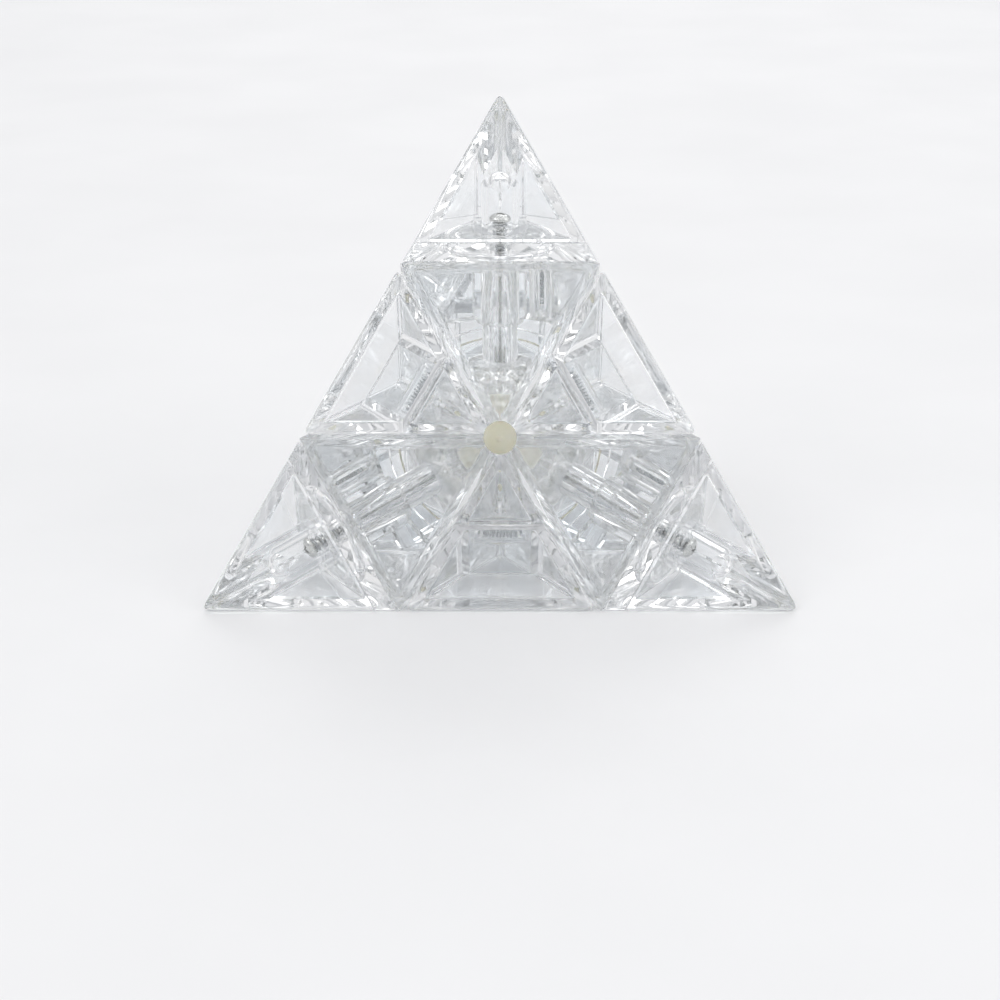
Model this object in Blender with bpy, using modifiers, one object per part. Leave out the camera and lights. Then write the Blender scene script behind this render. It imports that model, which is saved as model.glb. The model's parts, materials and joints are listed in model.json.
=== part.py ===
"""Clear pyramid twisty puzzle: a tetrahedron of four tips, four axials and six edges around a core.

Metres, +Z up. The origin is the centre of the core, where the four turning axes meet, and the
puzzle stands on its base face with its front face towards -Y. Every corner group is modelled once
in a corner frame (+Z along its axis) and every edge group once in an edge frame (+Z along its
radius, X along the outer edge), then placed on empties that stand on the core's centre.
"""

import math

import bmesh
import bpy
from mathutils import Matrix, Vector

# Driving dimensions
EDGE = 0.098  # outer edge of the whole pyramid, between sharp corners
CELL = EDGE / 3  # edge of one tip, axial or edge piece
GAP = 0.0002  # how far each turning piece stands back from the plane it shares
SEAM = 0.00015  # the same at a seam between two fixed halves
WALL = 0.0013
ROUNDING = 0.0009
FACE_HOLE = 0.0027  # radius of the opening where six pieces meet in the middle of a face

LAYER = CELL * math.sqrt(2 / 3)  # height of one layer
CORNER = 3 * CELL * math.sqrt(6) / 4  # core to a sharp corner
TIP_PLANE = CORNER - LAYER
CUT_PLANE = TIP_PLANE - LAYER
FACE = 3 * CELL * math.sqrt(6) / 12  # core to an outer face

PLATE = 0.0030  # thickness of a tip's base plate
BEARING = 0.0144  # radius of the ball-shaped hollow that the feet slide in
CLICK = 0.0079  # a tip's click ball, from the corner's axis
BALL = 0.0010
BALL_BORE = 0.00125
TURN_POINTS = 7  # straight runs in one turn of a spring
OFF_EDGE = math.radians(5)  # keeps the corners of round cutters off the planes of symmetry

AXES = {
    "top": Vector((0, 0, 1)),
    "left": Vector((-math.sqrt(6) / 3, -math.sqrt(2) / 3, -1 / 3)),
    "right": Vector((math.sqrt(6) / 3, -math.sqrt(2) / 3, -1 / 3)),
    "rear": Vector((0, 2 * math.sqrt(2) / 3, -1 / 3)),
}
EDGES = {
    "upper_left": ("left", "top"),
    "upper_right": ("top", "right"),
    "upper_rear": ("rear", "top"),
    "lower_front": ("left", "right"),
    "lower_left": ("rear", "left"),
    "lower_right": ("right", "rear"),
}
SIDES = [AXES[name] for name in ("left", "right", "rear")]  # the other three, in a corner's frame
SLANT = [Vector((s * math.sqrt(2 / 3), 0, math.sqrt(1 / 3))) for s in (-1, 1)]  # an edge's own two
ACROSS = [Vector((0, s * math.sqrt(2 / 3), -math.sqrt(1 / 3))) for s in (-1, 1)]  # its other two


def new_collection(name):
    made = bpy.data.collections.new(name)
    bpy.context.scene.collection.children.link(made)
    return made


for old in list(bpy.data.objects):
    bpy.data.objects.remove(old, do_unlink=True)
parts = new_collection("pyramid_twisty_puzzle")
cutters = new_collection("cutters")


def material(name, colour, roughness, metallic, alpha=1.0):
    made = bpy.data.materials.new(name)
    made.use_nodes = True
    shader = made.node_tree.nodes["Principled BSDF"]
    shader.inputs["Base Color"].default_value = (*colour, 1)
    shader.inputs["Roughness"].default_value = roughness
    shader.inputs["Metallic"].default_value = metallic
    shader.inputs["Alpha"].default_value = alpha
    made.diffuse_color = (*colour, alpha)
    return made


def hidden(name, data):
    """An object of the cutters collection, left out of the render."""
    obj = bpy.data.objects.new(name, data)
    obj.hide_render = True
    obj.display_type = "WIRE"
    cutters.objects.link(obj)
    return obj


def from_bmesh(name, bm):
    bmesh.ops.recalc_face_normals(bm, faces=bm.faces)
    mesh = bpy.data.meshes.new(name)
    bm.to_mesh(mesh)
    bm.free()
    return hidden(name, mesh)


def cut_back(bm, planes):
    for normal, distance in planes:
        everything = bm.verts[:] + bm.edges[:] + bm.faces[:]
        cut = bmesh.ops.bisect_plane(
            bm, geom=everything, dist=1e-7, clear_outer=True,
            plane_co=normal * distance, plane_no=normal,
        )
        rim = [item for item in cut["geom_cut"] if isinstance(item, bmesh.types.BMEdge)]
        bmesh.ops.contextual_create(bm, geom=rim)


def trimmed(name, planes, rounding=0.0, segments=1, seams=()):
    """A large block cut back to the planes, each a normal and its distance from the core.

    Its edges are rounded before the seams are cut, so that the edges of a seam stay sharp.
    """
    bm = bmesh.new()
    bmesh.ops.create_cube(bm, size=2 * EDGE)
    cut_back(bm, planes)
    if rounding:
        bmesh.ops.bevel(
            bm, geom=bm.edges[:], offset=rounding, segments=segments, profile=0.5,
            affect="EDGES", clamp_overlap=True,
        )
    cut_back(bm, seams)
    return from_bmesh(name, bm)


def rod(name, radius, low, high, sides=16, axis=Vector((0, 0, 1)), offset=Vector()):
    """A round bar or a round hole along an axis through the core or beside it."""
    bm = bmesh.new()
    bmesh.ops.create_cone(
        bm, cap_ends=True, segments=sides, radius1=radius, radius2=radius, depth=high - low
    )
    turn = axis.to_track_quat("Z", "Y").to_matrix().to_4x4() @ Matrix.Rotation(OFF_EDGE, 4, "Z")
    middle = Matrix.Translation((0, 0, (low + high) / 2))
    bmesh.ops.transform(bm, matrix=Matrix.Translation(offset) @ turn @ middle, verts=bm.verts)
    return from_bmesh(name, bm)


def ball(name, radius, sides=24, centre=Vector()):
    bm = bmesh.new()
    bmesh.ops.create_uvsphere(bm, u_segments=sides, v_segments=sides // 2, radius=radius)
    bmesh.ops.rotate(bm, matrix=Matrix.Rotation(OFF_EDGE, 3, "Z"), verts=bm.verts)
    bmesh.ops.translate(bm, vec=centre, verts=bm.verts)
    return from_bmesh(name, bm)


def slab(name, size, centre, turn=0.0):
    """A box, turned about the Z axis."""
    bm = bmesh.new()
    bmesh.ops.create_cube(bm, size=1)
    bmesh.ops.scale(bm, vec=size, verts=bm.verts)
    bmesh.ops.translate(bm, vec=centre, verts=bm.verts)
    bmesh.ops.rotate(bm, matrix=Matrix.Rotation(turn, 3, "Z"), verts=bm.verts)
    return from_bmesh(name, bm)


def turned(name, profile, steps=20, closed=False, axis=Vector((0, 0, 1))):
    """A profile of (radius, height) points swept round the Z axis, which is then laid on the axis."""
    bm = bmesh.new()
    points = [bm.verts.new((radius, 0, height)) for radius, height in profile]
    for first, second in zip(points, points[1:]):
        bm.edges.new((first, second))
    if closed:
        bm.edges.new((points[-1], points[0]))
    mesh = bpy.data.meshes.new(name)
    bm.to_mesh(mesh)
    bm.free()
    obj = hidden(name, mesh)
    obj.rotation_mode = "QUATERNION"
    obj.rotation_quaternion = axis.to_track_quat("Z", "Y")
    screw = obj.modifiers.new("turned", "SCREW")
    screw.steps = screw.render_steps = steps
    screw.use_merge_vertices = True
    screw.merge_threshold = 1e-6
    return obj


def combine(obj, operation, others, solver="EXACT"):
    for other in others:
        boolean = obj.modifiers.new(other.name, "BOOLEAN")
        boolean.operation = operation
        boolean.solver = solver
        boolean.object = other
    return obj


def settled(obj, paint):
    """The object's mesh with its modifiers applied, smooth where it is round."""
    bpy.context.view_layer.update()
    graph = bpy.context.evaluated_depsgraph_get()
    mesh = bpy.data.meshes.new_from_object(obj.evaluated_get(graph))
    mesh.name = obj.name.removesuffix("_form")
    mesh.materials.clear()
    mesh.materials.append(paint)
    mesh.shade_smooth()
    mesh.set_sharp_from_angle(angle=math.radians(30))
    return mesh


def coil(name, radius, wire, low, high, turns, paint):
    """A compression spring along Z, as a helix of short straight runs."""
    curve = bpy.data.curves.new(name, "CURVE")
    curve.dimensions = "3D"
    curve.bevel_depth = wire / 2
    curve.bevel_resolution = 2
    curve.use_fill_caps = True
    count = round(turns * TURN_POINTS) + 1
    spline = curve.splines.new("POLY")
    spline.points.add(count - 1)
    rise = high - low - wire
    for number, point in enumerate(spline.points):
        angle = 2 * math.pi * number / TURN_POINTS
        height = low + wire / 2 + rise * number / (count - 1)
        point.co = (radius * math.cos(angle), radius * math.sin(angle), height, 1)
    curve.materials.append(paint)
    return curve


def outer_faces(directions, inset=0.0):
    return [(-direction, FACE - inset) for direction in directions]


def face_holes(name, directions):
    return [
        rod(f"{name}_face_hole_{n}", FACE_HOLE, FACE - 0.012, FACE + 0.004, 12, -direction)
        for n, direction in enumerate(directions)
    ]


UP, DOWN = Vector((0, 0, 1)), Vector((0, 0, -1))
WEBS = [math.radians(angle) for angle in (-30, 90, 210)]  # towards a corner piece's own edges


def tip_shell(paint):
    """Hollow corner with a screw tube in its middle, joined to the walls by three webs."""
    low = TIP_PLANE + PLATE + SEAM
    tube_radius, bore, bore_top, web = 0.0044, 0.0021, 0.0440, 0.0008
    shell = trimmed("tip_shell_form", outer_faces(SIDES), ROUNDING, 2, [(DOWN, -low)])
    hollow = trimmed("tip_hollow", outer_faces(SIDES, WALL) + [(DOWN, -low + 0.002)])
    inside = trimmed("tip_inside", outer_faces(SIDES, WALL / 2) + [(DOWN, -low)])
    tube = rod("tip_tube", tube_radius, low - 0.002, CORNER, 20)
    webs = [
        slab(f"tip_web_{n}", (0.02, web, 0.02), Vector((0.01, 0, low + 0.013)), angle)
        for n, angle in enumerate(WEBS)
    ]
    combine(tube, "UNION", webs)
    combine(tube, "INTERSECT", [inside])
    combine(shell, "DIFFERENCE", [hollow])
    combine(shell, "UNION", [tube])
    combine(shell, "DIFFERENCE", [rod("tip_tube_bore", bore, low - 0.002, bore_top)])
    return settled(shell, paint)


def tip_base(paint):
    """Plate that closes a tip, with a cup for the screw's spring and a track for the click ball."""
    low, high = TIP_PLANE + GAP, TIP_PLANE + PLATE - SEAM
    stem, floor, cup, head_bore, rod_hole = 0.0025, 0.0010, 0.00155, 0.0021, 0.00098
    stem_end = TIP_PLANE - 0.0043
    track_depth, track_width, dimple = 0.00065, 0.0023, 0.0015
    plate = trimmed("tip_base_form", outer_faces(SIDES), ROUNDING, 2, [(DOWN, -low), (UP, high)])
    combine(plate, "UNION", [rod("tip_stem", stem, stem_end, low + 0.001)])
    inner, outer = CLICK - track_width / 2, CLICK + track_width / 2
    top = low + track_depth
    track = turned(
        "tip_track",
        [(outer, top - 0.0002), (outer, low - 0.001), (inner, low - 0.001), (inner, top - 0.0002),
         (inner + 0.0003, top), (outer - 0.0003, top)],
        20, closed=True,
    )
    dimples = [
        ball(f"tip_dimple_{n}", dimple, 8, Vector((
            CLICK * math.cos(angle), CLICK * math.sin(angle), top - dimple + 0.0004)))
        for n, angle in enumerate(WEBS)
    ]
    cuts = [
        rod("tip_cup", cup, stem_end + floor, high),
        rod("tip_head_bore", head_bore, TIP_PLANE + 0.0007, high + 0.001),
        rod("tip_rod_hole", rod_hole, stem_end - 0.001, high, 12),
    ]
    combine(plate, "DIFFERENCE", cuts + [track] + dimples)
    return settled(plate, paint)


def axial(paint):
    """Hollow octahedral corner-layer piece with a stepped stem on its axis and a click tube."""
    top, inner_wall, web = TIP_PLANE - GAP, 0.0015, 0.0009
    wide, narrow, step, foot = 0.0039, 0.0029, 0.0205, 0.0115
    socket, socket_floor, rod_hole = 0.0028, TIP_PLANE - 0.0047, 0.00098
    click_tube, click_low = 0.0021, 0.0230
    body = trimmed(
        "axial_form",
        outer_faces(SIDES)
        + [(side, CUT_PLANE - GAP) for side in SIDES]
        + [(UP, top), (DOWN, -CUT_PLANE - GAP)],
        ROUNDING / 2,
    )
    hollow = trimmed(
        "axial_hollow",
        outer_faces(SIDES, WALL)
        + [(side, CUT_PLANE - GAP - inner_wall) for side in SIDES]
        + [(UP, top - WALL), (DOWN, 0)],
    )
    inside = trimmed(
        "axial_inside",
        outer_faces(SIDES, WALL / 2)
        + [(side, CUT_PLANE - GAP - WALL / 2) for side in SIDES]
        + [(UP, top - WALL / 2), (DOWN, -foot)],
    )
    stem = rod("axial_stem", wide, step, TIP_PLANE, 20)
    click = Vector((CLICK * math.cos(WEBS[0]), CLICK * math.sin(WEBS[0]), 0))
    fittings = [rod("axial_stem_end", narrow, foot, step + 0.001, 20)]
    fittings += [
        slab(f"axial_web_{n}", (0.02, web, 0.02), Vector((0.01, 0, step + 0.011)), angle)
        for n, angle in enumerate(WEBS)
    ]
    fittings += [rod("axial_click_tube", click_tube, click_low, TIP_PLANE, offset=click)]
    combine(stem, "UNION", fittings)
    combine(stem, "INTERSECT", [inside])
    track_low = CUT_PLANE - GAP - 0.0006
    track_radius = 0.54 * CELL
    tracks = [
        turned(
            f"axial_track_{n}",
            [(track_radius + 0.0011, CUT_PLANE + 0.001), (track_radius + 0.0009, track_low),
             (track_radius - 0.0009, track_low), (track_radius - 0.0011, CUT_PLANE + 0.001)],
            36, closed=True, axis=side,
        )
        for n, side in enumerate(SIDES)
    ]
    # EXACT leaves open edges where the thin legs meet the round cutters
    bearing = ball("axial_bearing", BEARING, 26)
    combine(body, "DIFFERENCE", [hollow, bearing] + face_holes("axial", SIDES), "MANIFOLD")
    combine(body, "UNION", [stem], "MANIFOLD")
    cuts = [
        rod("axial_socket", socket, socket_floor, TIP_PLANE + 0.001),
        rod("axial_rod_hole", rod_hole, foot - 0.001, TIP_PLANE, 12),
        rod("axial_click_bore", BALL_BORE, click_low + 0.0009, TIP_PLANE + 0.001, 12, offset=click),
    ]
    combine(body, "DIFFERENCE", cuts + tracks, "MANIFOLD")
    return settled(body, paint)


SEAM_PLANE = 0.0229  # between an edge's two halves, from the core
FOOT_INNER, FOOT_OUTER = 0.0122, 0.01405
BALL_LINE = 0.0183  # the edge balls' line, from the core
BALL_OUT = (BALL_LINE / math.sqrt(3) - CUT_PLANE - 0.00045) / math.sqrt(2 / 3)


def edge_planes(inset, wall):
    return outer_faces(ACROSS, wall) + [(-side, -CUT_PLANE - GAP - inset) for side in SLANT]


def edge_cap(paint):
    """Outer half of an edge piece: a hollow roof that carries the pyramid's outer edge."""
    low = SEAM_PLANE + SEAM
    cap = trimmed("edge_cap_form", edge_planes(0, 0), ROUNDING, 2, [(DOWN, -low)])
    hollow = trimmed("edge_cap_hollow", edge_planes(WALL, WALL) + [(DOWN, -low + 0.002)])
    combine(cap, "DIFFERENCE", [hollow])
    return settled(cap, paint)


def edge_body(paint):
    """Inner half of an edge piece, with the ball tube across it and the foot that holds it in."""
    high, plate, lowest = SEAM_PLANE - SEAM, 0.0011, 0.0150
    tube, hole, half_width, spread = 0.0020, 0.0013, 0.0056, math.radians(34)
    body = trimmed("edge_body_form", edge_planes(0, 0), ROUNDING, 2, [(UP, high)])
    hollow = trimmed(
        "edge_body_hollow",
        edge_planes(WALL, WALL) + [(UP, high - plate), (DOWN, -lowest)],
    )
    across = Vector((1, 0, 0))
    line = Vector((0, 0, BALL_LINE))
    combine(hollow, "DIFFERENCE", [rod("edge_tube", tube, -0.01, 0.01, 16, across, line)])
    arc = [spread * n / 3 for n in range(4)]
    foot = turned(
        "edge_foot",
        [(FOOT_OUTER * math.sin(a), FOOT_OUTER * math.cos(a)) for a in arc]
        + [(FOOT_INNER * math.sin(a), FOOT_INNER * math.cos(a)) for a in reversed(arc)],
        18,
    )
    combine(foot, "INTERSECT", [slab("edge_foot_sides", (2 * half_width, 0.03, 0.03), Vector())])
    combine(body, "DIFFERENCE", [hollow, ball("edge_bearing", FOOT_INNER, 26)])
    combine(body, "DIFFERENCE", face_holes("edge", ACROSS))
    combine(body, "UNION", [foot])
    cuts = [
        rod("edge_foot_hole", hole, FOOT_INNER - 0.002, lowest + 0.0005),
        rod("edge_ball_bore", BALL_BORE, -0.01, 0.01, 12, across, line),
    ]
    combine(body, "DIFFERENCE", cuts)
    return settled(body, paint)


ARM_END = 0.0110


def core(paint):
    """Round hub with four arms, each bored for its screw."""
    hub_radius, arm, bore, bore_low, nub = 0.0044, 0.0023, 0.00098, 0.0046, 0.0006
    hub = ball("core_form", hub_radius, 16)
    for name, axis in AXES.items():
        combine(hub, "UNION", [rod(f"core_arm_{name}", arm, 0.0, ARM_END, 16, axis)])
    for name, axis in AXES.items():
        combine(hub, "UNION", [rod(f"core_nub_{name}", nub, 0.003, 0.0048, 10, -axis)])
    for name, axis in AXES.items():
        bored = rod(f"core_bore_{name}", bore, bore_low, ARM_END + 0.001, 12, axis)
        combine(hub, "DIFFERENCE", [bored])
    return settled(hub, paint)


HEAD_SEAT = TIP_PLANE + 0.0049


def axle_screw(paint):
    """Domed screw with a cross recess, whose end stops inside the core's arm."""
    shank, head, rise, end, slot = 0.000675, 0.0018, 0.0011, 0.0052, 0.0004
    dome = [math.radians(90 * n / 3) for n in range(3)]
    profile = [(0, HEAD_SEAT + rise)]
    profile += [(head * math.sin(a), HEAD_SEAT + 0.0003 + (rise - 0.0003) * math.cos(a)) for a in dome[1:]]
    profile += [(head, HEAD_SEAT + 0.0003), (head, HEAD_SEAT), (shank, HEAD_SEAT)]
    profile += [(shank, end + 0.0006), (0, end)]
    screw = turned("axle_screw_form", profile, 14)
    top = HEAD_SEAT + rise
    arms = [
        slab(f"screw_recess_{n}", (0.0018, slot, 0.0008), Vector((0, 0, top)), math.radians(90 * n))
        for n in range(2)
    ]
    combine(arms[0], "UNION", arms[1:])
    combine(screw, "DIFFERENCE", arms[:1])
    return settled(screw, paint)


def small_ball(paint):
    bm = bmesh.new()
    bmesh.ops.create_icosphere(bm, subdivisions=2, radius=BALL)
    return settled(from_bmesh("click_ball_form", bm), paint)


def corner_turns():
    """How each corner group stands: the two at the sides keep their click tubes up."""
    facing = -AXES["rear"]
    third = math.radians(120)
    return {
        "top": Matrix.Identity(4),
        "left": Matrix.Rotation(third, 4, facing),
        "right": Matrix.Rotation(-third, 4, facing) @ Matrix.Rotation(-third, 4, "Z"),
        "rear": Matrix.Rotation(third, 4, AXES["left"]),
    }


def edge_turn(first, second):
    radius = (AXES[first] + AXES[second]).normalized()
    along = (AXES[second] - AXES[first]).normalized()
    side = radius.cross(along)
    return Matrix((along, side, radius)).transposed().to_4x4()


def place(name, data, stand, offset=Vector(), turn=None):
    """One node on its stand, an empty at the core's centre turned to its group."""
    obj = bpy.data.objects.new(name, data)
    parts.objects.link(obj)
    obj.parent = stand
    obj.location = offset
    if turn:
        obj.rotation_euler = turn
    return obj


def stand_for(name, matrix):
    empty = bpy.data.objects.new(f"{name}_stand", None)
    empty.empty_display_size = 0.01
    empty.matrix_world = matrix
    parts.objects.link(empty)
    return empty


def build():
    clear = (0.90, 0.95, 0.96)
    tip_clear = material("tip_clear_plastic", clear, 0.05, 0.0, 0.35)
    base_clear = material("tip_base_clear_plastic", clear, 0.06, 0.0, 0.35)
    axial_clear = material("axial_clear_plastic", clear, 0.05, 0.0, 0.35)
    cap_clear = material("edge_cap_clear_plastic", clear, 0.05, 0.0, 0.35)
    body_clear = material("edge_body_clear_plastic", clear, 0.06, 0.0, 0.35)
    ivory = material("core_ivory_plastic", (0.86, 0.82, 0.66), 0.4, 0.0)
    steel = material("screw_steel", (0.62, 0.62, 0.60), 0.25, 1.0)
    spring_steel = material("spring_steel", (0.50, 0.52, 0.53), 0.3, 1.0)
    ball_steel = material("ball_steel", (0.75, 0.76, 0.77), 0.1, 1.0)

    shell, base, body = tip_shell(tip_clear), tip_base(base_clear), axial(axial_clear)
    cap, inner = edge_cap(cap_clear), edge_body(body_clear)
    screw, click_ball = axle_screw(steel), small_ball(ball_steel)

    spring_low = TIP_PLANE - 0.0031
    main = coil("main_spring", 0.00108, 0.00034, spring_low, HEAD_SEAT - 0.00025, 4, spring_steel)
    click_centre = TIP_PLANE - 0.00035
    tip_click = coil(
        "tip_click_spring", 0.00080, 0.00028, 0.0242, click_centre - BALL - 0.0003, 3, spring_steel
    )
    reach = BALL_OUT - BALL - 0.0003
    edge_click = coil("edge_click_spring", 0.00080, 0.00028, -reach, reach, 3.5, spring_steel)

    place("core", core(ivory), None)
    click = Vector((CLICK * math.cos(WEBS[0]), CLICK * math.sin(WEBS[0]), 0))
    for name, turn in corner_turns().items():
        stand = stand_for(name, turn)
        place(f"tip_shell_{name}", shell, stand)
        place(f"tip_base_{name}", base, stand)
        place(f"axial_{name}", body, stand)
        place(f"axle_screw_{name}", screw, stand)
        place(f"main_spring_{name}", main, stand)
        place(f"tip_click_spring_{name}", tip_click, stand, click)
        place(f"tip_click_ball_{name}", click_ball, stand, click + Vector((0, 0, click_centre)))
    for name, ends in EDGES.items():
        stand = stand_for(name, edge_turn(*ends))
        place(f"edge_cap_{name}", cap, stand)
        place(f"edge_body_{name}", inner, stand)
        line = Vector((0, 0, BALL_LINE))
        place(f"edge_click_spring_{name}", edge_click, stand, line, (0, math.radians(90), 0))
        for side, where in (("a", -BALL_OUT), ("b", BALL_OUT)):
            place(f"edge_click_ball_{name}_{side}", click_ball, stand, line + Vector((where, 0, 0)))


build()
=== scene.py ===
import json
import math

import bmesh
import bpy
from mathutils import Matrix, Vector


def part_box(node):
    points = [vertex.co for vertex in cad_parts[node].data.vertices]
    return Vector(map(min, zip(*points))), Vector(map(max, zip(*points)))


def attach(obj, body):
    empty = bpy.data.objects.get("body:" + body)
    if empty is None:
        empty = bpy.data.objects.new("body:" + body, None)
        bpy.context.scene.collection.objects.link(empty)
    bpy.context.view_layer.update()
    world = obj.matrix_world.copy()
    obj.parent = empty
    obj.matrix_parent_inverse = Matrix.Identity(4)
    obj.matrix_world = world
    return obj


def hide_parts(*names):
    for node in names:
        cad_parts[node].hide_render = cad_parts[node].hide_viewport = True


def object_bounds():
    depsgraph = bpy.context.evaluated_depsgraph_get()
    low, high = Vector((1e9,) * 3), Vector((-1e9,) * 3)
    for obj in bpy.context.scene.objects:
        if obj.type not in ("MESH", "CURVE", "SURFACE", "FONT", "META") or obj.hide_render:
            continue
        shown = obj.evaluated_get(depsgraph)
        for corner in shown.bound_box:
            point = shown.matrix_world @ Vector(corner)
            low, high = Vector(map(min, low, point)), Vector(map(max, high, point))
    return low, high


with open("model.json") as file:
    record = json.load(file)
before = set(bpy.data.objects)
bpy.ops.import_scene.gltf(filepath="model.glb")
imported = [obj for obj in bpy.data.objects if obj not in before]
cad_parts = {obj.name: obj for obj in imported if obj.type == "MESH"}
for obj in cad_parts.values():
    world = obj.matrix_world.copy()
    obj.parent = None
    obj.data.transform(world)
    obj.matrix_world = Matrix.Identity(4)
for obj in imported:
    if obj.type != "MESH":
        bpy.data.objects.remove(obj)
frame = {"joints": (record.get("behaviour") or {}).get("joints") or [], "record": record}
cad_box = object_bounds()

# Core
# A round hub with four arms, moulded in one piece from ivory plastic. Each arm lies on a turning
# axis and is bored for the screw that holds its corner. A gate nub shows on each side of the hub.

turning_axes = {}
for joint in frame["joints"]:
    if joint["type"] == "hinge" and joint["name"].startswith("tip_"):
        turning_axes[joint["name"].split("_")[1]] = Vector(joint["axis"]).normalized()

to_face = -cad_box[0][2]
cell = to_face * 4 / math.sqrt(6)
layer = cell * math.sqrt(2 / 3)
to_corner = 3 * to_face
tip_plane = to_corner - layer
cut_plane = tip_plane - layer

up, down = Vector((0, 0, 1)), Vector((0, 0, -1))
off_symmetry = math.radians(5)


def form_from(name, shape):
    """A construction form, shown nowhere, which other forms are cut from or joined to."""
    bmesh.ops.recalc_face_normals(shape, faces=shape.faces)
    mesh = bpy.data.meshes.new(name)
    shape.to_mesh(mesh)
    shape.free()
    form = bpy.data.objects.new(name, mesh)
    bpy.context.scene.collection.objects.link(form)
    return form


def round_bar(name, radius, low, high, axis=up, beside=Vector(), sides=64):
    shape = bmesh.new()
    bmesh.ops.create_cone(
        shape, cap_ends=True, segments=sides, radius1=radius, radius2=radius, depth=high - low
    )
    lay = axis.to_track_quat("Z", "Y").to_matrix().to_4x4() @ Matrix.Rotation(off_symmetry, 4, "Z")
    place = Matrix.Translation(beside) @ lay @ Matrix.Translation((0, 0, (low + high) / 2))
    bmesh.ops.transform(shape, matrix=place, verts=shape.verts)
    return form_from(name, shape)


def round_ball(name, radius, sides=64, centre=Vector()):
    shape = bmesh.new()
    bmesh.ops.create_uvsphere(shape, u_segments=sides, v_segments=sides // 2, radius=radius)
    bmesh.ops.rotate(shape, matrix=Matrix.Rotation(off_symmetry, 3, "Z"), verts=shape.verts)
    bmesh.ops.translate(shape, vec=centre, verts=shape.verts)
    return form_from(name, shape)


def made_real(form):
    """The form's mesh as its modifiers leave it."""
    bpy.context.view_layer.update()
    graph = bpy.context.evaluated_depsgraph_get()
    return bpy.data.meshes.new_from_object(form.evaluated_get(graph))


def join(form, operation, others):
    """Cuts, joins or trims the form by one other form after another, and settles each result."""
    for other in others:
        boolean = form.modifiers.new(other.name, "BOOLEAN")
        boolean.operation = operation
        boolean.solver = "MANIFOLD"
        boolean.object = other
        settled = made_real(form)
        form.modifiers.clear()
        form.data = settled


def moulded(form, crease=30):
    """The form's finished mesh, shaded round except over edges sharper than the crease angle."""
    mesh = made_real(form)
    mesh.shade_smooth()
    mesh.set_sharp_from_angle(angle=math.radians(crease))
    return mesh


def clear_away(forms):
    for form in list(forms):
        bpy.data.objects.remove(form)


class Signal:
    """One output of a material's nodes. Arithmetic on it adds Math nodes."""

    def __init__(self, tree, socket):
        self.tree, self.socket = tree, socket

    def sum_of(self, operation, first, second):
        node = self.tree.nodes.new("ShaderNodeMath")
        node.operation = operation
        for entry, value in zip(node.inputs, (first, second)):
            if isinstance(value, Signal):
                self.tree.links.new(value.socket, entry)
            else:
                entry.default_value = value
        return Signal(self.tree, node.outputs[0])

    def __add__(self, other):
        return self.sum_of("ADD", self, other)

    def __sub__(self, other):
        return self.sum_of("SUBTRACT", self, other)

    def __rsub__(self, other):
        return self.sum_of("SUBTRACT", other, self)

    def __mul__(self, other):
        return self.sum_of("MULTIPLY", self, other)

    __radd__, __rmul__ = __add__, __mul__


def add_node(tree, kind, links, **settings):
    """A new node: its settings first, then its sockets' values and links."""
    made = tree.nodes.new(kind)
    for setting, value in settings.items():
        setattr(made, setting, value)
    for entry, value in links.items():
        if isinstance(value, Signal):
            tree.links.new(value.socket, made.inputs[entry])
        elif isinstance(value, bpy.types.NodeSocket):
            tree.links.new(value, made.inputs[entry])
        else:
            made.inputs[entry].default_value = value
    return made.outputs


class Finish:
    """A material under construction: its tree, its shader and its object coordinates."""

    def __init__(self, name, **constants):
        self.material = bpy.data.materials.new(name)
        self.material.use_nodes = True
        self.tree = self.material.node_tree
        self.shader = self.tree.nodes["Principled BSDF"]
        for socket, value in constants.items():
            self.shader.inputs[socket.replace("_", " ")].default_value = value
        self.place = self.node("ShaderNodeTexCoord", {}, "Object")

    def node(self, kind, links, output=0, **settings):
        return Signal(self.tree, add_node(self.tree, kind, links, **settings)[output])

    def grain(self, size, detail=3.0, low=0.35, high=0.65):
        """Noise of that size in metres, spread from 0 to 1."""
        scale = 1 / size
        noise = self.node(
            "ShaderNodeTexNoise", {"Vector": self.place, "Scale": scale, "Detail": detail}
        )
        return self.node("ShaderNodeMapRange", {"Value": noise, "From Min": low, "From Max": high})

    def blend(self, mask, first, second):
        """The first colour where the mask is 0 and the second where it is 1."""
        colours = {0: mask, 6: (*first, 1), 7: (*second, 1)}
        return self.node("ShaderNodeMix", colours, 2, data_type="RGBA")

    def relief(self, height, depth, strength):
        """A Normal from a height that runs from 0 to 1 over the depth in metres."""
        bump = {"Height": height, "Distance": depth, "Strength": strength}
        return self.node("ShaderNodeBump", bump)

    def drive(self, **signals):
        for socket, signal in signals.items():
            self.tree.links.new(signal.socket, self.shader.inputs[socket.replace("_", " ")])
        return self.material


def ivory_finish():
    finish = Finish("ivory_moulding", Subsurface_Weight=0.12, IOR=1.5)
    finish.shader.inputs["Subsurface Radius"].default_value = (0.0012, 0.0009, 0.0005)
    cloud, speck = finish.grain(0.004), finish.grain(0.0006)
    return finish.drive(
        Base_Color=finish.blend(cloud, (0.93, 0.88, 0.69), (0.97, 0.93, 0.78)),
        Roughness=0.34 + cloud * 0.08 + speck * 0.06,
        Normal=finish.relief(speck, 0.00001, 0.5),
    )


body_of_node = {
    node: body for body, nodes in frame["record"]["behaviour"]["bodies"].items() for node in nodes
}


def fit(node, suffix, mesh, place, paint):
    """A finished piece that stands for a CAD node, rides on its body and has its finish."""
    own = mesh.copy()
    own.transform(place)
    own.materials.clear()
    own.materials.append(paint)
    piece = bpy.data.objects.new(f"{node}_{suffix}", own)
    bpy.context.scene.collection.objects.link(piece)
    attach(piece, body_of_node[node])
    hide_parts(node)
    return piece


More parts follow.
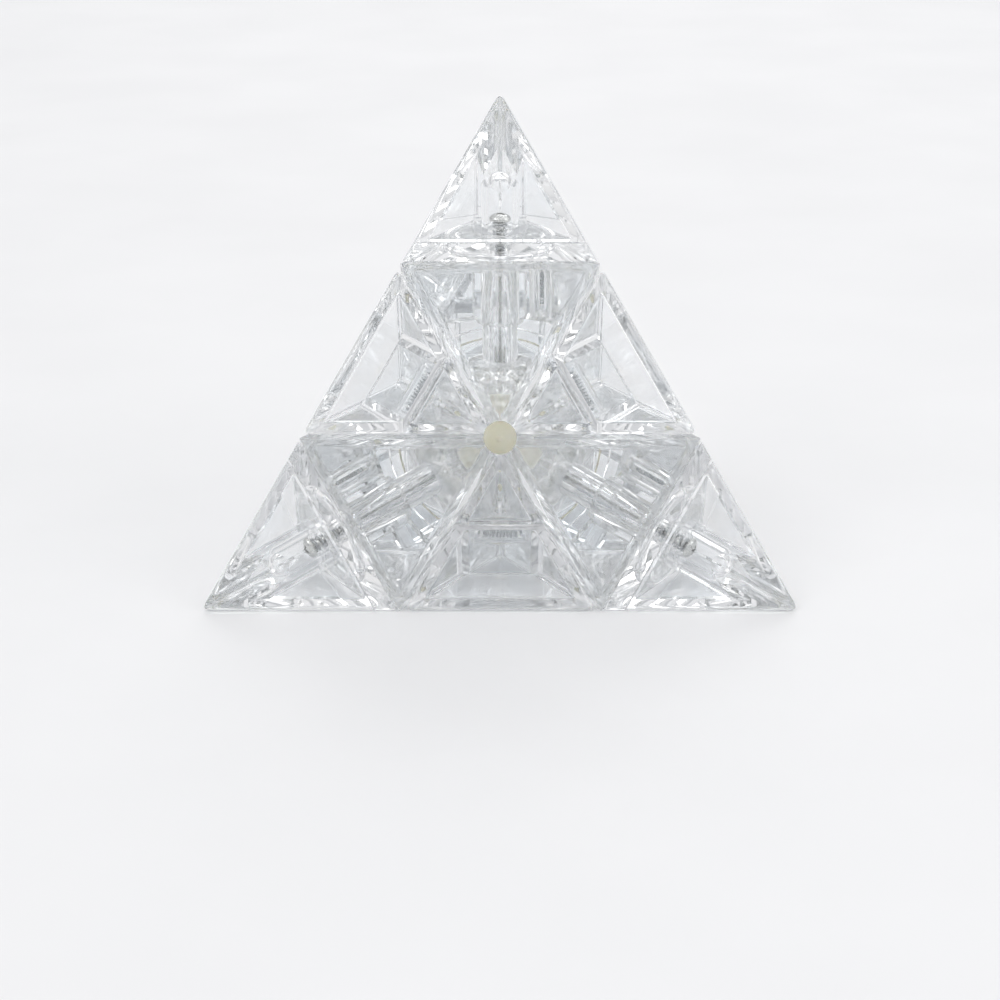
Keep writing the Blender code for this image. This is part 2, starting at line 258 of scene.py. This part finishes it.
overrun = 0.001  # how far a cutter or a joined part runs past the surface it meets
arm_radius, arm_end, hub_radius = 0.0023, 0.0110, 0.0044
screw_hole, hole_floor = 0.00098, 0.0046
hub = round_ball("hub", hub_radius, 48)
arms = [
    round_bar(f"arm_{n}", arm_radius - 0.00004, 0, arm_end - 0.00004, axis, sides=48)
    for n, axis in enumerate(turning_axes.values())
]
nubs = [
    round_bar(f"nub_{n}", 0.00055, 0.003, hub_radius + 0.0003, -axis, sides=24)
    for n, axis in enumerate(turning_axes.values())
]
bores = [
    round_bar(f"bore_{n}", screw_hole, hole_floor, arm_end + overrun, axis, sides=48)
    for n, axis in enumerate(turning_axes.values())
]
join(hub, "UNION", arms + nubs)
remesh = hub.modifiers.new("one moulding", "REMESH")
remesh.mode = "VOXEL"
remesh.voxel_size = 0.00016
soften = hub.modifiers.new("fillets", "SMOOTH")
soften.factor, soften.iterations = 0.5, 5
rounded_hub = made_real(hub)
hub.modifiers.clear()
hub.data = rounded_hub
join(hub, "DIFFERENCE", bores)
core_mesh = moulded(hub)
clear_away([hub] + arms + nubs + bores)
fit("core", "moulding", core_mesh, Matrix.Identity(4), ivory_finish())

# Axle screws
# A thin steel rod with a domed head and a cross recess. It runs from the tip, through the spring
# and the axial, and its threaded end is driven into the core's arm.


def turned_form(name, profile, steps, closed=False, axis=up):
    """A profile of (radius, height) points swept round an axis."""
    shape = bmesh.new()
    points = [shape.verts.new((radius, 0, height)) for radius, height in profile]
    for first, second in zip(points, points[1:] + points[:1] if closed else points[1:]):
        shape.edges.new((first, second))
    bmesh.ops.spin(
        shape, geom=shape.verts[:] + shape.edges[:], axis=(0, 0, 1), cent=(0, 0, 0),
        angle=2 * math.pi, steps=steps, use_merge=True,
    )
    bmesh.ops.remove_doubles(shape, verts=shape.verts, dist=1e-7)
    lay = axis.to_track_quat("Z", "Y").to_matrix().to_4x4()
    bmesh.ops.transform(shape, matrix=lay, verts=shape.verts)
    return form_from(name, shape)


def box_form(name, size, centre, turn=0.0):
    shape = bmesh.new()
    bmesh.ops.create_cube(shape, size=1)
    bmesh.ops.scale(shape, vec=size, verts=shape.verts)
    bmesh.ops.translate(shape, vec=centre, verts=shape.verts)
    bmesh.ops.rotate(shape, matrix=Matrix.Rotation(turn, 3, "Z"), verts=shape.verts)
    return form_from(name, shape)


def wire_winder():
    """A node tree that winds wire round Z: close turns at both ends, open turns between them."""
    tree = bpy.data.node_groups.new("wound_wire", "GeometryNodeTree")
    face = tree.interface
    face.new_socket("Geometry", in_out="INPUT", socket_type="NodeSocketGeometry")
    names = ("Turns", "Radius", "Wire", "Low", "High", "Close Turns")
    for name in names:
        face.new_socket(name, in_out="INPUT", socket_type="NodeSocketFloat")
    face.new_socket("Points", in_out="INPUT", socket_type="NodeSocketInt")
    face.new_socket("Material", in_out="INPUT", socket_type="NodeSocketMaterial")
    face.new_socket("Geometry", in_out="OUTPUT", socket_type="NodeSocketGeometry")
    given = tree.nodes.new("NodeGroupInput").outputs
    asked = {name: Signal(tree, given[name]) for name in names}

    def node(kind, links, **settings):
        return add_node(tree, kind, links, **settings)

    def maths(kind, links, **settings):
        return Signal(tree, node(kind, links, **settings)[0])

    part_way = maths("GeometryNodeSplineParameter", {})
    turns, radius, wire = asked["Turns"], asked["Radius"], asked["Wire"]
    angle = turns * part_way * (2 * math.pi)
    low, high, close = asked["Low"], asked["High"], asked["Close Turns"]
    dead = maths("ShaderNodeMath", {0: close, 1: turns}, operation="DIVIDE")
    open_part = {"Value": part_way, "From Min": dead, "From Max": 1 - dead}
    opened = maths("ShaderNodeMapRange", open_part)
    packed = wire * turns * part_way
    height = low + wire * 0.5 + packed + opened * (high - low - wire * (turns + 1))
    spread = [
        maths("ShaderNodeMath", {0: angle}, operation=name) * radius for name in ("COSINE", "SINE")
    ]
    path = node("ShaderNodeCombineXYZ", {"X": spread[0], "Y": spread[1], "Z": height})[0]
    line = node("GeometryNodeCurvePrimitiveLine", {})["Curve"]
    spaced = node("GeometryNodeResampleCurve", {"Curve": line, "Count": given["Points"]})["Curve"]
    wound = node("GeometryNodeSetPosition", {"Geometry": spaced, "Position": path})["Geometry"]
    round_wire = {"Resolution": 10, "Radius": wire * 0.5}
    section = node("GeometryNodeCurvePrimitiveCircle", round_wire)["Curve"]
    swept = node(
        "GeometryNodeCurveToMesh", {"Curve": wound, "Profile Curve": section, "Fill Caps": True}
    )["Mesh"]
    smooth = node("GeometryNodeSetShadeSmooth", {"Geometry": swept})["Geometry"]
    real = node("GeometryNodeRealizeInstances", {"Geometry": smooth})["Geometry"]
    paint = {"Geometry": real, "Material": given["Material"]}
    painted = node("GeometryNodeSetMaterial", paint)["Geometry"]
    node("NodeGroupOutput", {"Geometry": painted})
    return tree


winder = wire_winder()


def wound(name, paint, **sizes):
    """The mesh of one coil of wire, wound by the node tree to those sizes."""
    form = bpy.data.objects.new(name, bpy.data.meshes.new(name))
    bpy.context.scene.collection.objects.link(form)
    modifier = form.modifiers.new("winder", "NODES")
    modifier.node_group = winder
    sizes["Material"] = paint
    for item in winder.interface.items_tree:
        size = item.name.replace(" ", "_")
        if item.in_out == "INPUT" and size in sizes:
            modifier[item.identifier] = sizes[size]
    mesh = made_real(form)
    bpy.data.objects.remove(form)
    return mesh


def screw_finish():
    finish = Finish("bright_screw_steel", Metallic=1.0)
    smear, scuff = finish.grain(0.0015), finish.grain(0.0002, 2.0)
    return finish.drive(
        Base_Color=finish.blend(smear, (0.56, 0.56, 0.55), (0.72, 0.72, 0.70)),
        Roughness=0.16 + smear * 0.10 + scuff * 0.08,
        Normal=finish.relief(scuff, 0.000004, 0.4),
    )


def joined(first, second):
    """Two meshes as one."""
    shape = bmesh.new()
    shape.from_mesh(first)
    shape.from_mesh(second)
    shape.to_mesh(first)
    shape.free()
    return first


shank, head, head_rise, shank_end = 0.000675, 0.0018, 0.0011, 0.0052
head_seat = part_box("axle_screw_top")[1][2] - head_rise
dome = [math.radians(90 * n / 10) for n in range(1, 11)]
profile = [(0, head_seat + head_rise)]
profile += [
    (head * math.sin(a), head_seat + 0.0003 + (head_rise - 0.0003) * math.cos(a)) for a in dome
]
profile += [(head, head_seat + 0.0001), (head - 0.0001, head_seat), (shank, head_seat)]
profile += [(shank, shank_end + 0.0006), (0, shank_end)]
screw_form = turned_form("screw", profile, 48)
recess = [
    box_form(
        f"recess_{n}", (0.0019, 0.00038, 0.0009),
        Vector((0, 0, head_seat + head_rise)), math.radians(45 + 90 * n),
    )
    for n in range(2)
]
join(screw_form, "DIFFERENCE", recess)
screw_mesh = moulded(screw_form)
clear_away([screw_form] + recess)
screw_paint = screw_finish()
thread = wound(
    "thread", screw_paint, Turns=22.0, Radius=0.00062, Wire=0.00022, Low=0.0058, High=0.0150,
    Close_Turns=0.0, Points=530,
)
screw_mesh = joined(screw_mesh, thread)


def corner_places():
    """How each corner stands. The side corners are turned so that their click tubes stay up."""
    facing = -turning_axes["rear"]
    third = math.radians(120)
    return {
        "top": Matrix.Identity(4),
        "left": Matrix.Rotation(third, 4, facing),
        "right": Matrix.Rotation(-third, 4, facing) @ Matrix.Rotation(-third, 4, "Z"),
        "rear": Matrix.Rotation(third, 4, turning_axes["left"]),
    }


corners = corner_places()
for name, place in corners.items():
    fit(f"axle_screw_{name}", "turned", screw_mesh, place, screw_paint)

# Springs
# Compression springs of drawn wire with closed ends: one under each screw head, which pulls the
# corner towards the core, one under each tip's click ball, and one across each edge piece.

click_out = 0.0079  # a tip's click ball, from the corner's axis
webs = [math.radians(angle) for angle in (-30, 90, 210)]
click_at = Vector((click_out * math.cos(webs[0]), click_out * math.sin(webs[0]), 0))
ball_radius = 0.0010


def spring_finish():
    finish = Finish("spring_wire", Metallic=1.0)
    drawn, scuff = finish.grain(0.0008), finish.grain(0.00015, 2.0)
    return finish.drive(
        Base_Color=finish.blend(drawn, (0.45, 0.46, 0.47), (0.66, 0.67, 0.68)),
        Roughness=0.20 + drawn * 0.12 + scuff * 0.06,
        Normal=finish.relief(scuff, 0.000003, 0.4),
    )


def edge_places():
    """How each edge piece stands: X along its outer edge and Z along its radius."""
    ends = {
        "upper_left": ("left", "top"), "upper_right": ("top", "right"),
        "upper_rear": ("rear", "top"), "lower_front": ("left", "right"),
        "lower_left": ("rear", "left"), "lower_right": ("right", "rear"),
    }
    places = {}
    for name, (first, second) in ends.items():
        radius = (turning_axes[first] + turning_axes[second]).normalized()
        along = (turning_axes[second] - turning_axes[first]).normalized()
        places[name] = Matrix((along, radius.cross(along), radius)).transposed().to_4x4()
    return places


edges = edge_places()
spring_paint = spring_finish()
main_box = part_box("main_spring_top")
main_coil = wound(
    "main_coil", spring_paint, Turns=9.0, Radius=0.00107, Wire=0.00034, Low=main_box[0][2],
    High=main_box[1][2], Close_Turns=1.2, Points=260,
)
click_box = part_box("tip_click_spring_top")
click_coil = wound(
    "click_coil", spring_paint, Turns=12.0, Radius=0.00082, Wire=0.00026, Low=click_box[0][2],
    High=click_box[1][2], Close_Turns=1.2, Points=340,
)
for name, place in corners.items():
    beside = place @ Matrix.Translation(click_at)
    fit(f"main_spring_{name}", "wire", main_coil, place, spring_paint)
    fit(f"tip_click_spring_{name}", "wire", click_coil, beside, spring_paint)

ball_line = 0.0183  # the line of an edge's two balls, from the core
ball_out = (ball_line / math.sqrt(3) - cut_plane - 0.00045) / math.sqrt(2 / 3)
reach = ball_out - ball_radius - 0.0003
edge_coil = wound(
    "edge_coil", spring_paint, Turns=11.0, Radius=0.00082, Wire=0.00026, Low=-reach, High=reach,
    Close_Turns=1.2, Points=320,
)
across = Matrix.Translation((0, 0, ball_line)) @ Matrix.Rotation(math.radians(90), 4, "Y")
for name, place in edges.items():
    lying = place @ across
    fit(f"edge_click_spring_{name}", "wire", edge_coil, lying, spring_paint)

# Click balls
# Ground steel balls, pressed out of their tubes by the springs so that they drop into the dimples
# of the next piece and hold each layer square.


def ball_finish():
    finish = Finish("ground_ball", Metallic=1.0)
    haze = finish.grain(0.0007)
    return finish.drive(
        Base_Color=finish.blend(haze, (0.70, 0.71, 0.73), (0.84, 0.85, 0.86)),
        Roughness=0.06 + haze * 0.07,
        Normal=finish.relief(haze, 0.000002, 0.3),
    )


ball_form = round_ball("click_ball", ball_radius, 32)
ball_mesh = moulded(ball_form)
clear_away([ball_form])
ball_paint = ball_finish()
ball_height = tip_plane - 0.00035
for name, place in corners.items():
    there = place @ Matrix.Translation(click_at + Vector((0, 0, ball_height)))
    fit(f"tip_click_ball_{name}", "ground", ball_mesh, there, ball_paint)
for name, place in edges.items():
    for side, out in (("a", -ball_out), ("b", ball_out)):
        there = place @ Matrix.Translation((out, 0, ball_line))
        fit(f"edge_click_ball_{name}_{side}", "ground", ball_mesh, there, ball_paint)

# Tip shells
# The pyramid's hollow corners, injection-moulded in clear plastic. The screw's tube stands in the
# middle on three webs and runs up into the walls.

gap, seam, wall, rounding = 0.0002, 0.00015, 0.0013, 0.0011
others = [turning_axes[name] for name in ("left", "right", "rear")]


def cut_to(shape, planes):
    for normal, distance in planes:
        everything = shape.verts[:] + shape.edges[:] + shape.faces[:]
        cut = bmesh.ops.bisect_plane(
            shape, geom=everything, dist=1e-7, clear_outer=True,
            plane_co=normal * distance, plane_no=normal,
        )
        rim = [item for item in cut["geom_cut"] if isinstance(item, bmesh.types.BMEdge)]
        bmesh.ops.contextual_create(shape, geom=rim)


def block(name, planes, radius=0.0, seams=()):
    """A block with those flat sides, each a normal and a distance, and rounded edges."""
    shape = bmesh.new()
    bmesh.ops.create_cube(shape, size=8 * cell)
    cut_to(shape, planes)
    if radius:
        bmesh.ops.bevel(
            shape, geom=shape.edges[:], offset=radius, segments=5, profile=0.5,
            affect="EDGES", clamp_overlap=True,
        )
    cut_to(shape, seams)
    return form_from(name, shape)


def outer_sides(directions, inset=0.0):
    return [(-direction, to_face - inset) for direction in directions]


def shell_mesh(form, crease=30):
    """A moulding whose flat sides keep flat shading beside its rounded edges."""
    mesh = moulded(form, crease)
    sides = [(side.normal.copy(), side.area) for side in mesh.polygons]
    around = [[] for vertex in mesh.vertices]
    for side in mesh.polygons:
        for vertex in side.vertices:
            around[vertex].append(sides[side.index])
    limit = math.cos(math.radians(crease))
    normals = []
    for side in mesh.polygons:
        facing = sides[side.index][0]
        for vertex in side.vertices:
            lean = sum((n * area for n, area in around[vertex] if n.dot(facing) > limit), Vector())
            normals.append(lean.normalized() if lean.length > 1e-12 else facing)
    mesh.normals_split_custom_set(normals)
    return mesh


def clear_finish(name, tint, haze, wave):
    """Clear plastic: flow waves from the mould, a little haze, and hardly any colour."""
    finish = Finish(name, IOR=1.49, Transmission_Weight=1.0)
    flow = finish.grain(0.009, 1.5, 0.3, 0.7)
    cloud, dust = finish.grain(0.006), finish.grain(0.0004)
    return finish.drive(
        Base_Color=finish.blend(cloud, tint, (1.0, 1.0, 1.0)),
        Roughness=haze + cloud * haze + dust * haze * 0.5,
        Normal=finish.relief(flow, wave, 0.6),
    )


shell_low = tip_plane + 0.0030 + seam
tube, bore, bore_top, web = 0.0044, 0.0021, 0.0440, 0.0008
shell = block("tip_shell", outer_sides(others), rounding, [(down, -shell_low)])
hollow = block("tip_hollow", outer_sides(others, wall), 0.0008, [(down, -shell_low + overrun)])
inside = block("tip_inside", outer_sides(others, wall / 2), 0.0, [(down, -shell_low)])
stem = round_bar("tip_tube", tube, shell_low - overrun, to_corner, sides=72)
fins = [
    box_form(f"fin_{n}", (0.02, web, 0.02), Vector((0.01, 0, shell_low + 0.013)), angle)
    for n, angle in enumerate(webs)
]
opening = round_bar("tip_bore", bore, shell_low - overrun, bore_top, sides=56)
bore_end = round_ball("tip_bore_end", bore, 48, Vector((0, 0, bore_top - 0.0002)))
join(stem, "UNION", fins)
join(stem, "INTERSECT", [inside])
join(shell, "DIFFERENCE", [hollow])
join(shell, "UNION", [stem])
join(shell, "DIFFERENCE", [opening, bore_end])
tip_mesh = shell_mesh(shell)
clear_away([shell, hollow, inside, stem, opening, bore_end] + fins)
tip_paint = clear_finish("tip_clear", (0.985, 0.994, 1.0), 0.012, 0.00006)
for name, place in corners.items():
    fit(f"tip_shell_{name}", "moulding", tip_mesh, place, tip_paint)

# Tip bases
# The plate that closes each tip. Its stem turns in the axial's socket and is the cup for the main
# spring. A ring track with three dimples runs round its underside for the click ball.

base_low, base_high = tip_plane + gap, tip_plane + 0.0030 - seam
stem_radius, floor, cup, head_bore = 0.0025, 0.0010, 0.00155, 0.0021
stem_end = tip_plane - 0.0043
track_depth, track_width, dimple = 0.00065, 0.0023, 0.0015
plate = block("tip_base", outer_sides(others), rounding, [(down, -base_low), (up, base_high)])
boss = round_bar("tip_stem", stem_radius, stem_end, base_low + overrun, sides=56)
inner, outer = click_out - track_width / 2, click_out + track_width / 2
top = base_low + track_depth
bend = [math.radians(180 * n / 8) for n in range(9)]
track = turned_form(
    "tip_track",
    [(outer, base_low - overrun)]
    + [
        (click_out + track_width / 2 * math.cos(a), top - 0.0005 + 0.0005 * math.sin(a))
        for a in bend
    ]
    + [(inner, base_low - overrun)],
    96, closed=True,
)
dimples = [
    round_ball(f"tip_dimple_{n}", dimple, 40, Vector((
        click_out * math.cos(angle), click_out * math.sin(angle), top - dimple + 0.0004)))
    for n, angle in enumerate(webs)
]
cuts = [
    round_bar("tip_cup", cup, stem_end + floor, base_high, sides=48),
    round_bar("tip_head_bore", head_bore, tip_plane + 0.0007, base_high + overrun, sides=56),
    round_bar("tip_rod_hole", screw_hole, stem_end - overrun, base_high, sides=40),
]
join(plate, "UNION", [boss])
join(plate, "DIFFERENCE", cuts + [track] + dimples)
base_mesh = shell_mesh(plate)
clear_away([plate, boss, track] + cuts + dimples)
base_paint = clear_finish("tip_base_clear", (0.98, 0.992, 1.0), 0.014, 0.00004)
for name, place in corners.items():
    fit(f"tip_base_{name}", "moulding", base_mesh, place, base_paint)

# Axials
# The inverted pieces under the tips: clear octahedral shells with a stepped stem on the screw, a
# small tube for the click spring, and a ball-shaped hollow below in which the feet slide.

axial_top, axial_wall, fin_thick = tip_plane - gap, 0.0015, 0.0009
wide, narrow, step, foot_end = 0.0039, 0.0029, 0.0205, 0.0115
socket, socket_floor = 0.0028, tip_plane - 0.0047
click_tube, click_low, click_bore = 0.0021, 0.0230, 0.00125
bearing, face_hole = 0.0144, 0.0027
turn_sides = [(side, cut_plane - gap) for side in others]
axial = block(
    "axial",
    outer_sides(others) + turn_sides + [(up, axial_top), (down, -cut_plane - gap)],
    0.0006,
)
hollow = block(
    "axial_hollow",
    outer_sides(others, wall)
    + [(side, distance - axial_wall) for side, distance in turn_sides]
    + [(up, axial_top - wall), (down, 0)],
    0.0007,
)
inside = block(
    "axial_inside",
    outer_sides(others, wall / 2)
    + [(side, distance - wall / 2) for side, distance in turn_sides]
    + [(up, axial_top - wall / 2), (down, -foot_end)],
)
stem = round_bar("axial_stem", wide, step, tip_plane, sides=72)
fittings = [round_bar("axial_stem_end", narrow, foot_end, step + overrun, sides=64)]
fittings += [
    box_form(f"axial_fin_{n}", (0.02, fin_thick, 0.02), Vector((0.01, 0, step + 0.011)), angle)
    for n, angle in enumerate(webs)
]
fittings += [round_bar("click_tube", click_tube, click_low, tip_plane, beside=click_at, sides=48)]
join(stem, "UNION", fittings)
join(stem, "INTERSECT", [inside])
track_low, track_radius = cut_plane - gap - 0.0006, 0.54 * cell
tracks = [
    turned_form(
        f"axial_track_{n}",
        [(track_radius + 0.0011, cut_plane + overrun), (track_radius + 0.0010, track_low + 0.0003),
         (track_radius + 0.0007, track_low), (track_radius - 0.0007, track_low),
         (track_radius - 0.0010, track_low + 0.0003), (track_radius - 0.0011, cut_plane + overrun)],
        144, closed=True, axis=side,
    )
    for n, side in enumerate(others)
]
cuts = [round_ball("bearing", bearing, 64)]
cuts += [
    round_bar(f"face_hole_{n}", face_hole, to_face - 0.012, to_face + 0.004, -side, sides=48)
    for n, side in enumerate(others)
]
bores = [
    round_bar("axial_socket", socket, socket_floor, tip_plane + overrun, sides=64),
    round_bar("axial_rod_hole", screw_hole, foot_end - overrun, tip_plane, sides=40),
    round_bar(
        "click_bore", click_bore, click_low + 0.0009, tip_plane + overrun, beside=click_at, sides=40
    ),
]
join(axial, "DIFFERENCE", [hollow] + cuts)
join(axial, "UNION", [stem])
join(axial, "DIFFERENCE", bores + tracks)
axial_mesh = shell_mesh(axial)
clear_away([axial, hollow, inside, stem] + fittings + tracks + cuts + bores)
axial_paint = clear_finish("axial_clear", (0.98, 0.992, 1.0), 0.012, 0.00006)
for name, place in corners.items():
    fit(f"axial_{name}", "moulding", axial_mesh, place, axial_paint)

# Edge caps
# The outer half of each edge piece, a hollow clear roof that carries the pyramid's outer edge. It
# is glued to the edge body along a straight seam.

seam_plane = 0.0229
own_pair = [Vector((s * math.sqrt(2 / 3), 0, math.sqrt(1 / 3))) for s in (-1, 1)]
far_pair = [Vector((0, s * math.sqrt(2 / 3), -math.sqrt(1 / 3))) for s in (-1, 1)]


def edge_sides(inset):
    return outer_sides(far_pair, inset) + [(-side, -cut_plane - gap - inset) for side in own_pair]


cap_low = seam_plane + seam
cap = block("edge_cap", edge_sides(0), rounding, [(down, -cap_low)])
hollow = block("edge_cap_hollow", edge_sides(wall), 0.0008, [(down, -cap_low + overrun)])
join(cap, "DIFFERENCE", [hollow])
cap_mesh = shell_mesh(cap)
clear_away([cap, hollow])
cap_paint = clear_finish("edge_cap_clear", (0.985, 0.994, 1.0), 0.012, 0.00006)
for name, place in edges.items():
    fit(f"edge_cap_{name}", "moulding", cap_mesh, place, cap_paint)

# Edge bodies
# The inner half of each edge piece: the seam plate, the tube for the spring and its two balls, and
# the round foot with a hole in it that slides under the axials and keeps the piece in the puzzle.

foot_inner, foot_outer, foot_spread, foot_half = 0.0122, 0.01405, math.radians(34), 0.0056
body_high, seam_plate, lowest = seam_plane - seam, 0.0011, 0.0150
ball_tube, foot_hole = 0.0020, 0.0013
line = Vector((0, 0, ball_line))
side_on = Vector((1, 0, 0))
body = block("edge_body", edge_sides(0), rounding, [(up, body_high)])
hollow = block(
    "edge_body_hollow", edge_sides(wall) + [(up, body_high - seam_plate), (down, -lowest)], 0.0004
)
tube_form = round_bar("ball_tube", ball_tube, -0.01, 0.01, side_on, line, 48)
join(hollow, "DIFFERENCE", [tube_form])
arc = [foot_spread * n / 24 for n in range(25)]
foot = turned_form(
    "edge_foot",
    [(foot_outer * math.sin(a), foot_outer * math.cos(a)) for a in arc]
    + [(foot_inner * math.sin(a), foot_inner * math.cos(a)) for a in reversed(arc)],
    72,
)
foot_sides = box_form("foot_sides", (2 * foot_half, 0.03, 0.03), Vector())
join(foot, "INTERSECT", [foot_sides])
cuts = [round_ball("foot_bearing", foot_inner, 64)]
cuts += [
    round_bar(f"edge_face_hole_{n}", face_hole, to_face - 0.012, to_face + 0.004, -side, sides=48)
    for n, side in enumerate(far_pair)
]
bores = [
    round_bar("foot_hole", foot_hole, foot_inner - 0.002, lowest + 0.0005, sides=40),
    round_bar("ball_bore", click_bore, -0.01, 0.01, side_on, line, 40),
]
join(body, "DIFFERENCE", [hollow] + cuts)
join(body, "UNION", [foot])
join(body, "DIFFERENCE", bores)
body_mesh = shell_mesh(body)
clear_away([body, hollow, tube_form, foot, foot_sides] + cuts + bores)
body_paint = clear_finish("edge_body_clear", (0.98, 0.992, 1.0), 0.014, 0.00005)
for name, place in edges.items():
    fit(f"edge_body_{name}", "moulding", body_mesh, place, body_paint)

# Studio
# A pale table, an even pale sky and three soft boxes. Darker bands low in the sky give the clear
# plastic edges to show. The camera looks down at the front face, square to it.

floor_shape = bmesh.new()
bmesh.ops.create_grid(floor_shape, x_segments=1, y_segments=1, size=3.0)
floor_form = form_from("table", floor_shape)
floor_form.location = (0, 0, cad_box[0][2] - 0.0001)
table_top = Finish("pale_table")
sheen = table_top.grain(0.05)
floor_form.data.materials.append(
    table_top.drive(
        Base_Color=table_top.blend(sheen, (0.80, 0.80, 0.81), (0.82, 0.82, 0.83)),
        Roughness=0.55 + sheen * 0.05,
    )
)


def soft_box(name, place, size, power, aim=Vector((0, 0, 0))):
    lamp = bpy.data.lights.new(name, "AREA")
    lamp.shape, lamp.size, lamp.size_y, lamp.energy = "RECTANGLE", size[0], size[1], power
    holder = bpy.data.objects.new(name, lamp)
    holder.location = place
    holder.rotation_euler = (aim - Vector(place)).to_track_quat("-Z", "Y").to_euler()
    bpy.context.scene.collection.objects.link(holder)


soft_box("key_box", (-0.55, -0.45, 0.75), (0.5, 0.5), 2.0)
soft_box("fill_box", (0.70, -0.35, 0.45), (0.35, 0.6), 1.2)
soft_box("back_box", (0.10, 0.75, 0.55), (0.8, 0.35), 1.6)

world = bpy.data.worlds.new("studio_sky")
world.use_nodes = True
sky = world.node_tree
direction = sky.nodes.new("ShaderNodeTexCoord").outputs["Generated"]
height = sky.nodes.new("ShaderNodeSeparateXYZ")
sky.links.new(direction, height.inputs[0])
bands = sky.nodes.new("ShaderNodeValToRGB")
sky.links.new(height.outputs["Z"], bands.inputs[0])
stops = bands.color_ramp.elements
stops[0].position, stops[0].color = 0.0, (0.82, 0.83, 0.85, 1)
stops[1].position, stops[1].color = 0.75, (1.0, 1.0, 1.0, 1)
for level, shade in ((0.08, 0.78), (0.16, 0.42), (0.30, 0.74)):
    stops.new(level).color = (shade, shade + 0.01, shade + 0.03, 1)
sky.links.new(bands.outputs[0], sky.nodes["Background"].inputs["Color"])
sky.nodes["Background"].inputs["Strength"].default_value = 0.88
bpy.context.scene.world = world
bpy.context.scene.view_settings.view_transform = "Standard"

lens = bpy.data.cameras.new("camera")
lens.sensor_width, lens.lens = 36.0, 92.5
lens.clip_start = 0.01
camera = bpy.data.objects.new("camera", lens)
camera.location = (0, -0.4126, 0.1400)
camera.rotation_euler = (math.radians(90 - 20.1), 0, 0)
bpy.context.scene.collection.objects.link(camera)
bpy.context.scene.camera = camera

# Light has to pass the walls of many clear shells, and turn back inside them, to reach the core.
cycles = bpy.context.scene.cycles
cycles.max_bounces = cycles.transmission_bounces = cycles.glossy_bounces = 40
cycles.diffuse_bounces = 10
cycles.blur_glossy = 0.0
